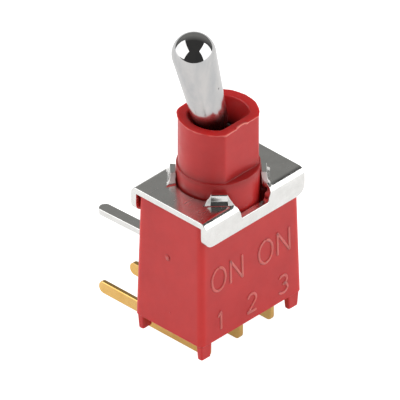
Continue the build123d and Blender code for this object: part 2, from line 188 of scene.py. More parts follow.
def runAlong(path):
    # each point's distance from the start, measured along the path
    return np.concatenate([[0], np.cumsum(np.linalg.norm(np.diff(path, axis=0), axis=1))])


def turnedGrid(profile, columns):
    # a profile of (radius, height) points turned about Z: x = radius cos a, y = radius sin a
    angle = np.linspace(0, 2 * math.pi, columns, endpoint=False)
    radius, height = profile[:, :1], profile[:, 1:]
    return np.stack([radius * np.cos(angle), radius * np.sin(angle), height + 0 * angle], axis=-1)


def tipped(points, tilt, centre):
    # turned about Y by tilt, then moved so that the origin lands on centre
    x, y, z = points[..., 0], points[..., 1], points[..., 2]
    c, n = math.cos(tilt), math.sin(tilt)
    return np.stack([x * c + z * n, y, z * c - x * n], axis=-1) + centre


def refined(name, node, bevel, segments):
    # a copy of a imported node: doubles merged, flat faces joined up, and sharp edges eased by a small bevel
    mesh = nodes[node].data.copy()
    mesh.name = name
    work = bmesh.new()
    work.from_mesh(mesh)
    bmesh.ops.remove_doubles(work, verts=work.verts, dist=0.0005 * mm)
    bmesh.ops.dissolve_limit(
        work, angle_limit=math.radians(0.5), verts=work.verts, edges=work.edges, use_dissolve_boundaries=False
    )
    work.to_mesh(mesh)
    work.free()
    mesh.polygons.foreach_set("use_smooth", np.full(len(mesh.polygons), True))
    piece = addObject(name, mesh)
    for key in list(mesh.attributes.keys()):
        if "custom_normal" in key:
            mesh.attributes.remove(mesh.attributes[key])
    edge = piece.modifiers.new("easedEdges", "BEVEL")
    edge.width = bevel * mm
    edge.segments = segments
    edge.limit_method = "ANGLE"
    edge.angle_limit = math.radians(34)
    edge.harden_normals = True
    return piece


def place(piece, body, finish, slotName, *stands):
    # its finish, the body it moves with and the imported nodes that it stands for; the slot name is not used
    piece.data.materials.clear()
    piece.data.materials.append(finish)
    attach(piece, body)
    if stands:
        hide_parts(*stands)
    return piece


# shader groups shared by the materials

def newGroup(name, result, **inputs):
    # a group that takes a place and some numbers or vectors, each with its usual value, and gives one number
    group = bpy.data.node_groups.new(name, "ShaderNodeTree")
    group.interface.new_socket("Place", in_out="INPUT", socket_type="NodeSocketVector")
    for label, value in inputs.items():
        kind = "NodeSocketFloat" if isinstance(value, float) else "NodeSocketVector"
        group.interface.new_socket(label, in_out="INPUT", socket_type=kind).default_value = value
    group.interface.new_socket(result, in_out="OUTPUT", socket_type="NodeSocketFloat")
    return group, group.nodes.new("NodeGroupInput"), group.nodes.new("NodeGroupOutput")


def addNode(tree, kind, **values):
    # a shader node with some of its own settings, or the values of its sockets
    node = tree.nodes.new("ShaderNode" + kind)
    for key, value in values.items():
        if hasattr(node, key):
            setattr(node, key, value)
        else:
            node.inputs[key].default_value = value
    return node


def mathOf(operation):
    # the function that works out one operation on two sockets, or on a socket and a number
    def build(tree, first, second):
        node = addNode(tree, "Math", operation=operation)
        for socket, value in zip(node.inputs, (first, second)):
            if isinstance(value, (int, float)):
                socket.default_value = value
            else:
                tree.links.new(value, socket)
        return node.outputs[0]
    return build


times, plus, minus = mathOf("MULTIPLY"), mathOf("ADD"), mathOf("SUBTRACT")


def clamped(tree, value):
    clamp = addNode(tree, "Clamp")
    tree.links.new(value, clamp.inputs[0])
    return clamp.outputs[0]


def cloudGroup():
    # two sizes of soft noise added up and stretched to 0..1: uneven colour or gloss
    group, source, sink = newGroup("softClouds", "Mask", Size=900.0, Contrast=1.0)
    link = group.links.new
    wide = addNode(group, "TexNoise", Detail=3.0, Roughness=0.55)
    fine = addNode(group, "TexNoise", Detail=4.0, Roughness=0.6)
    for noise, factor in ((wide, 1.0), (fine, 4.3)):
        link(source.outputs["Place"], noise.inputs["Vector"])
        link(times(group, source.outputs["Size"], factor), noise.inputs["Scale"])
    both = plus(group, times(group, wide.outputs[0], 0.68), times(group, fine.outputs[0], 0.32))
    centred = times(group, minus(group, both, 0.5), source.outputs["Contrast"])
    link(clamped(group, plus(group, times(group, centred, 2.6), 0.5)), sink.inputs["Mask"])
    return group


def grainGroup():
    # fine relief of a mould or plated skin: noise height, with a second, slower swell under it
    group, source, sink = newGroup("skinRelief", "Height", Grain=14000.0, Swell=900.0, Share=0.5)
    link = group.links.new
    grain = addNode(group, "TexNoise", Detail=2.0, Roughness=0.5)
    swell = addNode(group, "TexNoise", Detail=1.0, Roughness=0.4)
    for noise, name in ((grain, "Grain"), (swell, "Swell")):
        link(source.outputs["Place"], noise.inputs["Vector"])
        link(source.outputs[name], noise.inputs["Scale"])
    grainPart = times(group, grain.outputs[0], minus(group, 1.0, source.outputs["Share"]))
    swellPart = times(group, swell.outputs[0], source.outputs["Share"])
    link(plus(group, grainPart, swellPart), sink.inputs["Height"])
    return group


def scratchGroup():
    # hair scratches: noise stretched along one direction, cut down to its highest part
    group, source, sink = newGroup("hairScratches", "Mask", Stretch=(900.0, 9000.0, 9000.0), Cut=0.62)
    link = group.links.new
    mapping = addNode(group, "Mapping")
    link(source.outputs["Place"], mapping.inputs["Vector"])
    link(source.outputs["Stretch"], mapping.inputs["Scale"])
    noise = addNode(group, "TexNoise", Scale=1.0, Detail=2.0, Roughness=0.5)
    link(mapping.outputs[0], noise.inputs["Vector"])
    steep = times(group, minus(group, noise.outputs[0], source.outputs["Cut"]), 9.0)
    link(clamped(group, steep), sink.inputs["Mask"])
    return group


softClouds, skinRelief, hairScratches = cloudGroup(), grainGroup(), scratchGroup()


def newFinish(name, **settings):
    # a Principled shader with its constant values set on its own sockets
    finish = bpy.data.materials.new(name)
    finish.use_nodes = True
    tree = finish.node_tree
    shader = tree.nodes["Principled BSDF"]
    for key, value in settings.items():
        shader.inputs[key.replace("_", " ")].default_value = value
    place = addNode(tree, "TexCoord")
    return finish, tree, shader, place.outputs["Object"]


def putGroup(tree, group, where, **values):
    node = addNode(tree, "Group", node_tree=group, **values)
    tree.links.new(where, node.inputs["Place"])
    return node.outputs[0]


def colourBetween(tree, mask, dark, light):
    ramp = addNode(tree, "ValToRGB")
    ramp.color_ramp.elements[0].color = (*dark, 1)
    ramp.color_ramp.elements[1].color = (*light, 1)
    tree.links.new(mask, ramp.inputs[0])
    return ramp.outputs[0]


def numberBetween(tree, value, low, high, start=0.0, end=1.0):
    # low where the value is start, high where it is end, and even steps between
    span = addNode(tree, "MapRange")
    for label, number in zip(("From Min", "From Max", "To Min", "To Max"), (start, end, low, high)):
        span.inputs[label].default_value = number
    tree.links.new(value, span.inputs["Value"])
    return span.outputs[0]


def mixed(tree, share, colour, other):
    # the first colour where the share is 0, and the other, a fixed one, where it is 1
    mix = addNode(tree, "Mix", data_type="RGBA")
    tree.links.new(share, mix.inputs[0])
    tree.links.new(colour, mix.inputs[6])
    mix.inputs[7].default_value = (*other, 1)
    return mix.outputs[2]


def ownShare(tree, attribute):
    return addNode(tree, "Attribute", attribute_name=attribute).outputs["Fac"]


def reliefTo(tree, shader, height, strength, distance):
    bump = addNode(tree, "Bump", Strength=strength, Distance=distance * mm)
    tree.links.new(height, bump.inputs["Height"])
    tree.links.new(bump.outputs[0], shader.inputs["Normal"])


def mouldedFinish(name, dark, light, glossLow, glossHigh, grain=0.25, tints=(), **settings):
    # moulded plastic: uneven colour and gloss with a very fine grain, and each tint where its attribute is 1
    finish, tree, shader, where = newFinish(name, **settings)
    link = tree.links.new
    clouds = putGroup(tree, softClouds, where, Size=420.0, Contrast=1.0)
    colour = colourBetween(tree, clouds, dark, light)
    for attribute, tint in tints:
        colour = mixed(tree, ownShare(tree, attribute), colour, tint)
    link(colour, shader.inputs["Base Color"])
    gloss = putGroup(tree, softClouds, where, Size=1500.0, Contrast=1.2)
    link(numberBetween(tree, gloss, glossLow, glossHigh), shader.inputs["Roughness"])
    height = putGroup(tree, skinRelief, where, Grain=16000.0, Swell=700.0, Share=0.35)
    reliefTo(tree, shader, height, grain, 0.006)
    return finish


def platedFinish(name, dark, light, glossLow, glossHigh, stretch, cut=0.6, sheared=False):
    # plated metal: blotchy gloss, faint rolling lines and a slightly wavy skin
    finish, tree, shader, where = newFinish(name, Metallic=1.0)
    link = tree.links.new
    clouds = putGroup(tree, softClouds, where, Size=1100.0, Contrast=1.0)
    link(colourBetween(tree, clouds, dark, light), shader.inputs["Base Color"])
    lines = putGroup(tree, hairScratches, where, Stretch=stretch, Cut=cut)
    gloss = plus(tree, times(tree, clouds, 0.7), times(tree, lines, 0.5))
    roughness = numberBetween(tree, gloss, glossLow, glossHigh)
    if sheared:
        # a sheared edge is torn and pale, so it scatters the light instead of mirroring the room
        torn = ownShare(tree, "sheared")
        roughness = plus(tree, roughness, times(tree, torn, 0.35))
        link(numberBetween(tree, torn, 1.0, 0.12), shader.inputs["Metallic"])
    link(roughness, shader.inputs["Roughness"])
    height = putGroup(tree, skinRelief, where, Grain=9000.0, Swell=900.0, Share=0.75)
    reliefTo(tree, shader, height, 0.2, 0.01)
    return finish


glowThrough = {
    "Subsurface_Weight": 0.55, "Subsurface_Radius": (1.0, 0.16, 0.10), "Subsurface_Scale": 0.7 * mm,
    "IOR": 1.5,
}
# painted shade darkens the red down the mouth and round the collar, a painted highlight makes the thin flash
# paler, and painted light brightens the upright corners
paintedLightAndShade = (("paintedShade", (0.06, 0.002, 0.002)), ("paintedHighlight", (0.86, 0.24, 0.21)), ("edge", (0.68, 0.018, 0.013)))
redNylon = mouldedFinish(
    "redNylon", (0.52, 0.016, 0.017), (0.61, 0.026, 0.025), 0.30, 0.42, tints=paintedLightAndShade, **glowThrough
)
# painted highlight: the raised marks are the housing's plastic, painted a lighter red where their ridges catch the
# light
paintedLightMarkRed = mouldedFinish("raisedMarkPaintedLight", (0.78, 0.12, 0.11), (0.86, 0.17, 0.15), 0.46, 0.58, **glowThrough)
tinPlate = platedFinish(
    "tinPlate", (0.80, 0.795, 0.77), (0.92, 0.915, 0.895), 0.14, 0.30, (500.0, 8000.0, 8000.0), sheared=True
)


# a pinhole in the plating: its height above the pivot, distance from the lever's axis, angle and size
pitShape = {"rise": 5.35, "reach": 1.145, "turn": -78, "core": 0.04, "rim": 0.075}


def pitPlace():
    # the pinhole's place on the tilted lever's skin, in metres
    reach, turn, z = pitShape["reach"], math.radians(pitShape["turn"]), pitShape["rise"]
    x, y = reach * math.cos(turn), reach * math.sin(turn)
    return (
        (x * math.cos(leverTilt) - z * math.sin(leverTilt) + pivot[0]) * mm,
        (y + pivot[1]) * mm,
        (z * math.cos(leverTilt) + x * math.sin(leverTilt) + pivot[2]) * mm,
    )


def chromeFinish():
    # chrome mottled along the taper, mirror-bright where the piece's polish is 1, and darkened by painted shade
    # where its foot is 1
    finish, tree, shader, where = newFinish("chromePlate", Metallic=1.0)
    link = tree.links.new
    drawn = addNode(tree, "Mapping", Rotation=(0.0, leverTilt, 0.0), Scale=(1.0, 1.0, 0.3))
    link(where, drawn.inputs["Vector"])
    clouds = putGroup(tree, softClouds, drawn.outputs[0], Size=900.0, Contrast=1.5)
    mottle = colourBetween(tree, clouds, (0.525, 0.53, 0.537), (0.645, 0.633, 0.620))
    paintedFootShade = ownShare(tree, "foot")
    darkened = mixed(tree, paintedFootShade, mottle, (0.085, 0.092, 0.090))
    away = addNode(tree, "VectorMath", operation="DISTANCE")
    link(where, away.inputs[0])
    away.inputs[1].default_value = pitPlace()
    near = numberBetween(tree, away.outputs["Value"], 0.75, 0.0, pitShape["core"] * mm, pitShape["rim"] * mm)
    link(mixed(tree, near, darkened, (0.05, 0.05, 0.05)), shader.inputs["Base Color"])
    keep = minus(tree, 1.0, ownShare(tree, "polish"))
    worn = plus(tree, numberBetween(tree, clouds, 0.08, 0.19), times(tree, paintedFootShade, 0.10))
    link(plus(tree, times(tree, worn, keep), 0.03), shader.inputs["Roughness"])
    height = putGroup(tree, skinRelief, where, Grain=5200.0, Swell=1500.0, Share=0.55)
    reliefTo(tree, shader, times(tree, height, keep), 0.15, 0.009)
    return finish


chromePlate = chromeFinish()
goldPlate = platedFinish(
    "goldPlate", (0.90, 0.54, 0.155), (0.98, 0.65, 0.235), 0.16, 0.30, (6000.0, 500.0, 6000.0), cut=0.66
)
drawnSteel = platedFinish(
    "drawnSteel", (0.50, 0.50, 0.49), (0.62, 0.62, 0.61), 0.18, 0.34, (7000.0, 7000.0, 600.0)
)
sealRubber = mouldedFinish("sealRubber", (0.014, 0.013, 0.013), (0.030, 0.028, 0.027), 0.42, 0.60)
blackNylon = mouldedFinish("blackNylon", (0.020, 0.020, 0.021), (0.038, 0.038, 0.040), 0.35, 0.50)
basePlastic = mouldedFinish("basePlastic", (0.045, 0.044, 0.048), (0.075, 0.073, 0.078), 0.38, 0.55)
pouredEpoxy = mouldedFinish(
    "pouredEpoxy", (0.055, 0.050, 0.048), (0.095, 0.088, 0.082), 0.08, 0.20, grain=0.1, Coat_Weight=0.4
)
print("finishes ready")


# housing: body, collar, bushing and mouth as one skin

housingShape = {
    "baseHalf": (4.10, 2.625), "topHalf": (3.95, 2.45), "height": 8.18, "footHeight": 0.90,
    "corner": 0.37, "rimChamfer": 0.14, "shoulder": 0.12,
    "collarRadius": 2.385, "collarRise": 1.10, "collarEase": 0.05, "rootEase": 0.045, "rimEase": 0.03,
    "bushingRadius": 2.29, "bushingFlat": 1.855, "backFlat": 1.93, "bushingRise": 4.33,
    "lipLift": 0.09, "lipRise": 0.11, "lipProud": 0.075, "crest": 0.12, "crestMiddle": 267, "crestHalf": 11,
    "mouthRadius": 1.74, "mouthFlat": 1.32, "mouthLead": 0.12,
    "throatRadius": 1.25, "throatFlat": 0.95, "throatRise": 1.011, "grooveRise": 0.631, "grooveDepth": 0.08,
    "wellRadius": 1.42, "pinSlot": (0.33, 1.67), "ballDrop": 1.36, "swing": (1.30, 1.79), "swingHalf": 0.91,
    "cavityHalf": (3.35, 1.85), "ceiling": 0.92,
    "recessHalf": 1.36, "recessEnd": 1.48, "recessDepth": 1.0,      # the pockets behind the notches
}
s = housingShape
plateTop = housingHigh[2] - s["bushingRise"]
bushingTop = housingHigh[2] + s["lipLift"]
underside = housingLow[2] + s["footHeight"]
bodyTop = underside + s["height"]
collarTop = plateTop + s["collarRise"]
cavityTop = bodyTop - s["ceiling"]


def boxRay(angle, halfX, halfY, corner=0.0):
    # distance from the centre, along each angle, to a rectangle with rounded corners
    c, n = np.abs(np.cos(angle)) + 1e-9, np.abs(np.sin(angle)) + 1e-9
    straight = np.minimum(halfX / c, halfY / n)
    cx, cy = halfX - corner, halfY - corner
    along = c * cx + n * cy
    arc = along + np.sqrt(np.maximum(along ** 2 - (cx ** 2 + cy ** 2 - corner ** 2), 0))
    inCorner = (straight * c > cx) & (straight * n > cy)
    return np.where(inCorner, arc, straight)


def flatRay(angle, radius, flat, ease=90, backFlat=None, backEase=30):
    # distance to a round bar with two flats, its edges eased a little: a smooth minimum of the two distances
    n = np.sin(angle)
    near = (radius ** -ease + (flat / np.maximum(-n, 1e-3)) ** -ease) ** (-1 / ease)
    far = (radius ** -backEase + ((backFlat or flat) / np.maximum(n, 1e-3)) ** -backEase) ** (-1 / backEase)
    return np.where(n < 0, near, far)


def quarterTurn(steps):
    # how far up and how far inwards a rounded edge of radius 1 has gone, as (sin turn, 1 - cos turn)
    turn = np.linspace(0, math.pi / 2, steps)
    return list(zip(np.sin(turn), 1 - np.cos(turn)))


def housingGrid():
    # rows of (height, distance) that climb the outside, roll over the rim and go down the inside to the start
    # even steps, with more of them at the body's corners and at the ends of the flats
    cluster = [np.arange(28.8, 35.6, 0.4), np.arange(52.6, 55.7, 0.25), np.arange(40, 50, 1.0)]
    a = columnsWith(1.5, np.concatenate(cluster))
    rows, row = rowsOver(a)

    def bodyRay(level, inset=0.0):
        share = (level - underside) / s["height"]
        ends = zip(s["baseHalf"], s["topHalf"])
        halfX, halfY = (low * (1 - share) + high * share - inset for low, high in ends)
        return boxRay(a, halfX, halfY, max(s["corner"] - inset, 0.05))

    cavity = boxRay(a, *s["cavityHalf"], 0.05)
    hold, chamfer = 0.02, s["rimChamfer"]       # rows this close to an edge keep the faces beside it flat
    row(underside + s["rimEase"], cavity)
    row(underside, cavity + s["rimEase"])
    for inset in (chamfer + hold, chamfer, chamfer - hold):
        row(underside + max(chamfer - inset, 0), bodyRay(underside, inset))
    row(underside + chamfer - hold, bodyRay(underside, 1.1 * hold))
    for rise in (0, hold, 3 * hold):
        row(underside + chamfer + rise, bodyRay(underside + chamfer + rise))
    # the top is lower behind the bracket's notches, so that the collar runs down out of sight there
    across = np.abs(s["collarRadius"] * np.cos(a))
    side = np.clip((s["recessEnd"] - across) / (s["recessEnd"] - s["recessHalf"]), 0, 1)
    top = bodyTop - s["recessDepth"] * side
    for share in np.linspace(0.08, 0.94, 12):
        level = underside + (top - underside) * share
        row(level, bodyRay(level))
    shoulder, ease = s["shoulder"], s["collarEase"]
    collar = 0 * a + s["collarRadius"]
    row(top - shoulder - 0.03, bodyRay(top - shoulder - 0.03))
    for up, inward in quarterTurn(6):
        outside = np.maximum(bodyRay(top, shoulder * inward), collar + ease * (1.1 - 0.1 * up))
        row(top - shoulder * (1 - up), outside)
    row(top, np.maximum(bodyRay(top, shoulder + 0.03), collar + 1.02 * ease))
    # collar, with eased root and edge
    row(top, collar + ease)
    for up, inward in quarterTurn(4):
        row(top + ease * inward, collar + ease * (1 - up))
    for share in np.linspace(0, 1, 6):
        row((top + 0.10) * (1 - share) + (collarTop - 0.08) * share, collar)
    for up, inward in quarterTurn(5):
        row(collarTop - ease * (1 - up), collar - ease * inward)

    # bushing, from a soft root on the collar to the flash round its top
    def bushingRay(inset=0.0):
        return flatRay(a, s["bushingRadius"] - inset, s["bushingFlat"] - inset, 90, s["backFlat"] - inset, 30)

    for up, inward in quarterTurn(5):
        root = np.minimum(bushingRay(-s["rootEase"] * (1 - up)), collar - 0.06)
        row(collarTop + s["rootEase"] * inward, root)
    for level in np.linspace(collarTop + 0.10, bushingTop - s["lipRise"] - 0.10, 9):
        row(level, bushingRay())
    # the flash's wave: 0.5 + the sum of height * sin(turns * a + start), kept between 0 and 1
    waves = ((0.20, 3, 1.1), (0.16, 7, 4.0), (0.16, 17, 0.6), (0.10, 31, 0.0))
    wave = np.clip(0.5 + sum(height * np.sin(turns * a + start) for height, turns, start in waves), 0.0, 1.0)
    proud = s["lipProud"] * (0.25 + 0.75 * wave)
    # a stretch of the flash on the front flat stands up a little, with a steep end
    off = (np.degrees(a) - s["crestMiddle"]) / s["crestHalf"]
    crest = s["crest"] * np.clip(np.where(off < 0, (off + 1.1) * 6, (1.4 - off) * 1.2), 0, 1)
    proud = proud + 0.4 * crest
    lipLow = bushingTop + crest - s["lipRise"] * (0.45 + 0.75 * wave)
    bead = np.minimum(0.045, (bushingTop + crest - lipLow) * 0.6)
    row(lipLow - 0.03, bushingRay())
    row(lipLow, bushingRay() + 0.12 * proud)
    row(lipLow + 0.015, bushingRay() + 0.75 * proud)
    for up, inward in quarterTurn(6):
        row(bushingTop + crest - bead + bead * up, bushingRay() + proud - bead * inward)
    row(bushingTop + crest, bushingRay(0.02))
    row(bushingTop + 0.3 * crest, bushingRay(0.06))
    row(bushingTop, bushingRay(0.12))

    # mouth: a wide soft lead, then a cone between sloping cheeks down to the ring's seat
    def mouthRay(share, widen=0.0):
        radius = s["throatRadius"] * (1 - share) + s["mouthRadius"] * share
        flat = s["throatFlat"] * (1 - share) + s["mouthFlat"] * share
        return flatRay(a, radius + widen, flat + widen, 26, flat + widen, 26)

    throat, lead = pivot[2] + s["throatRise"], s["mouthLead"]
    row(bushingTop, mouthRay(1, lead + 0.03))
    for up, inward in quarterTurn(6):
        row(bushingTop - lead * inward, mouthRay(1, lead * (1 - up)))
    for share in np.linspace(0.9, 0.0, 12):
        row(throat + (bushingTop - lead - throat) * share, mouthRay(share))
    # inside: ring seat, ball bore with the cross pin's slots and the stem's swing slot, then the cavity
    well = 0 * a + s["wellRadius"]
    slotted = np.maximum(well, boxRay(a, *s["pinSlot"]))
    slotTop = pivot[2] + s["pinSlot"][0]
    row(throat, well + s["grooveDepth"])
    row(pivot[2] + s["grooveRise"], well + s["grooveDepth"])
    row(pivot[2] + s["grooveRise"], well)
    row(slotTop, well)
    row(slotTop - 0.001, slotted)
    for level, swing in ((pivot[2] - s["ballDrop"], s["swing"][0]), (cavityTop, s["swing"][1])):
        row(level, np.maximum(slotted, boxRay(a, swing, s["swingHalf"])))
    row(cavityTop, cavity)
    return raisedRows(rows, a)


def pointsOf(piece):
    # the piece's own points, in millimetres
    flat = np.empty(len(piece.data.vertices) * 3, np.float32)
    piece.data.vertices.foreach_get("co", flat)
    return flat.reshape(-1, 3).astype(float) / mm


def giveShare(piece, name, share):
    # a value from 0 to 1 at each point, for the finish to read
    values = piece.data.attributes.new(name, "FLOAT", "POINT")
    values.data.foreach_set("value", np.clip(share, 0, 1).astype(np.float32))


# where painted shade darkens the red and painted light brightens it: full shares, and where up the wall or round
# the axis they fall off
shadeShape = {
    "mouthFull": 0.93, "mouthFrom": 0.55, "mouthRun": 0.90,
    "footFull": 0.58, "footFrom": 0.75, "footRun": 0.65, "notchHalf": 26,
    "lugFull": 0.28, "lugAngle": 216, "ledgeFull": 0.46, "ledgeRun": 0.30,
    "edgeFull": 0.62, "edgeAngle": 58.0, "edgeHalf": 4.4,
}


def shadeHousing(piece):
    h = shadeShape
    spots = pointsOf(piece)
    reach, level = np.hypot(spots[:, 0], spots[:, 1]), spots[:, 2]
    around = np.arctan2(spots[:, 1], spots[:, 0]) % (2 * math.pi)
    degrees = np.degrees(around)
    outline = flatRay(around, s["bushingRadius"], s["bushingFlat"], 90, s["backFlat"], 30)
    middleRadius, middleFlat = ((s["bushing" + end] + s["mouth" + end]) / 2 for end in ("Radius", "Flat"))
    inMouth = reach < flatRay(around, middleRadius, middleFlat)
    # painted shade: the red darkens with depth down the mouth
    downMouth = h["mouthFull"] * np.clip((bushingTop - h["mouthFrom"] - level) / h["mouthRun"], 0, 1) ** 1.6
    # outside, painted shade darkens the red in the corner on top of the collar, at the collar's foot and behind
    # the front lug
    fromNotch = np.abs(degrees % 180 - 90)
    byFoot = h["footFull"] * np.clip((plateTop + h["footFrom"] - level) / h["footRun"], 0, 1)
    byFoot = byFoot * np.clip((fromNotch - h["notchHalf"]) / 12, 0, 1)
    behindLug = h["lugFull"] * np.clip(1.6 - np.abs(degrees - h["lugAngle"]) / 16, 0, 1)
    byLedge = h["ledgeFull"] * np.exp(-np.abs(level - collarTop) / h["ledgeRun"])
    byCollar = np.maximum(np.where(level < collarTop - 0.03, np.maximum(byFoot, behindLug), 0), byLedge)
    byCollar = np.where(reach < s["collarRadius"] + 0.07, byCollar, 0)
    giveShare(piece, "paintedShade", np.where(inMouth, downMouth, byCollar))
    # painted highlight: the flash is painted palest on the front flat
    onFlat = 0.5 + 0.5 * np.clip(2.2 - np.abs(degrees - 270) / 20, 0, 1)
    onLip = np.clip(np.where(level > bushingTop - 0.20, (reach - outline - 0.012) / 0.035, 0), 0, 1)
    giveShare(piece, "paintedHighlight", onFlat * onLip)
    # painted light: the light that soaks into the plastic and comes out again along its upright corners is painted
    # there as a brighter red
    onBody = (level > underside + 0.05) & (level < bodyTop - 0.3) & (reach > 3.6)
    byCorner = h["edgeFull"] * np.clip((h["edgeHalf"] - np.abs(fromNotch - h["edgeAngle"])) / 2.4, 0, 1)
    giveShare(piece, "edge", np.where(onBody, byCorner, 0))


housingSkin = addSurface("housingSkin", housingGrid(), wrapRows=True)
shadeHousing(housingSkin)
place(housingSkin, "switch_body", redNylon, "red_nylon", "housing")

footShape = {"length": 0.90, "depth": 0.44, "inset": 0.12, "taper": 0.08, "corner": 0.10, "edge": 0.05}


def footGrid(sideX, sideY):
    # rounded rectangles that shrink towards the bottom, closed to a point at both ends
    f = footShape
    cluster = [quarter + np.arange(20, 72, 2.0) for quarter in (0, 90, 180, 270)]
    a = np.radians(np.unique(np.concatenate([np.arange(0, 360, 6), *cluster])))
    centre = (
        sideX * (s["baseHalf"][0] - f["inset"] - f["length"] / 2),
        sideY * (s["baseHalf"][1] - f["inset"] - f["depth"] / 2),
    )
    low, high = housingLow[2], underside + 0.20
    halfTop = (f["length"] / 2, f["depth"] / 2)
    halfLow = (f["length"] / 2 - f["taper"], f["depth"] / 2 - f["taper"] / 2)
    rows, row = rowsOver(a)
    row(high, 0)
    for share in (1.0, 0.98, 0.6, 0.2):
        half = [wide * share + narrow * (1 - share) for wide, narrow in zip(halfTop, halfLow)]
        row(low + (high - low) * share, boxRay(a, *half, f["corner"]))
    for up, inward in quarterTurn(6):
        half = [narrow - f["edge"] * inward for narrow in halfLow]
        row(low + f["edge"] * (1 - up), boxRay(a, *half, f["corner"]))
    row(low, boxRay(a, halfLow[0] - 0.08, halfLow[1] - 0.08, 0.05))
    row(low, 0)
    return raisedRows(rows, a, centre)


for sideX, sideName in ((-1, "left"), (1, "right")):
    for sideY, endName in ((-1, "front"), (1, "back")):
        foot = addSurface(f"foot_{sideName}_{endName}", footGrid(sideX, sideY))
        place(foot, "switch_body", redNylon, "red_nylon")
print("housing skin and feet")


# bracket: one folded sheet with its hole, notches and grip lugs

bracketShape = {
    "half": 4.02, "sheet": 0.40, "bend": 0.45, "flange": 1.67, "corner": 0.60, "ease": 0.035,
    "hole": 2.495, "notchHalf": 1.09, "notchFlare": 0.25, "notchDepth": 0.89, "notchCorner": 0.13,
    "lugFace": 2.392, "lugSheet": 0.33, "lugRise": 0.63, "lugBend": 0.25,
    "lugLean": math.tan(math.radians(6)),
    "lugHalf": 9.8, "lugRoot": 18.6, "lugTorn": 15.5,       # in degrees from the lug's middle
    "legWidth": 0.74, "legBend": 0.40, "legX": 2.54, "legShort": 0.25,
    "legRoot": 0.18, "legTip": {"left": 0.05, "right": -0.30},      # the legs are a little out of level
}
k = bracketShape
mounts = {mount["name"]: np.array(mount["pos_m"]) / mm for mount in frame["record"]["mounts"]}
boardPlane, frontPlane = mounts["board_face"][1], bracketLow[1]


def bendStart(q):
    # where the flat top ends and each bend starts, measured along the sheet from the middle
    return np.where(q > 0, boardPlane, -frontPlane) - k["bend"]


def folded(x, q, depth):
    # a point of the flat sheet after folding: flat up to the bend, a quarter circle round it, then down
    past = np.abs(q) - bendStart(q)
    turn = np.clip(past / k["bend"], 0, math.pi / 2)
    drop = np.maximum(past - k["bend"] * math.pi / 2, 0)
    y = np.sign(q) * (np.minimum(np.abs(q), bendStart(q)) + (k["bend"] - depth) * np.sin(turn))
    z = plateTop - k["bend"] + (k["bend"] - depth) * np.cos(turn) - drop
    # on the flat, the depth is taken straight down
    return np.stack([x, np.where(past < 0, q, y), np.where(past < 0, plateTop - depth, z)], axis=-1)


def sheetEdges(a):
    # per column: distance to the sheet's outer and inner edge, the lug's height and the angle from its middle
    pastBend = k["bend"] * math.pi / 2 - k["bend"]
    outer = boxRay(a, k["half"], bendStart(np.sin(a)) + pastBend + k["flange"], k["corner"])
    phi = np.abs(np.degrees(a) % 90 - 45)
    tilt = np.cos(np.radians(phi))
    # the notch: a tongue of the hole that runs over the bend and narrows as it goes down, settled in a few
    # rounds because its width depends on how far down it is
    notchEnd = bendStart(np.sin(a)) + pastBend + k["notchDepth"]
    reach = 0 * a + 2.0
    for _ in range(8):
        q = reach * np.abs(np.sin(a))
        past = np.maximum(q - bendStart(np.sin(a)), 0)
        turn = np.minimum(past / k["bend"], math.pi / 2)
        fall = k["bend"] * (1 - np.cos(turn)) + np.maximum(past - k["bend"] * math.pi / 2, 0)
        half = k["notchHalf"] + k["notchFlare"] * np.clip(1 - fall / k["notchDepth"], 0, 1)
        reach = boxRay(a, half, notchEnd, k["notchCorner"])

    def innerAt(rise):
        # the hole's edge, or the face of a lug that leans in as it rises
        face = (k["lugFace"] + k["lugLean"] * (k["lugRise"] - rise)) / tilt
        return np.maximum(np.where(phi < k["lugRoot"], np.minimum(k["hole"], face), k["hole"]), reach)

    flank = [k["lugHalf"], k["lugHalf"] + 0.6, 11.8, 13.8, 16.2, k["lugRoot"]]
    height = np.interp(phi, flank, [k["lugRise"], 0.50, 0.37, 0.20, 0.07, 0])
    foot = k["lugFace"] + k["lugSheet"] + k["lugBend"] + k["lugLean"] * k["lugRise"]
    into = foot - innerAt(0) * tilt
    slide = np.clip(into, 0, k["lugBend"])
    onCurve = k["lugBend"] - np.sqrt(k["lugBend"] ** 2 - slide ** 2)
    under = np.where(into > k["lugBend"], k["lugRise"], onCurve)
    return outer, innerAt, np.minimum(height, under), phi, tilt


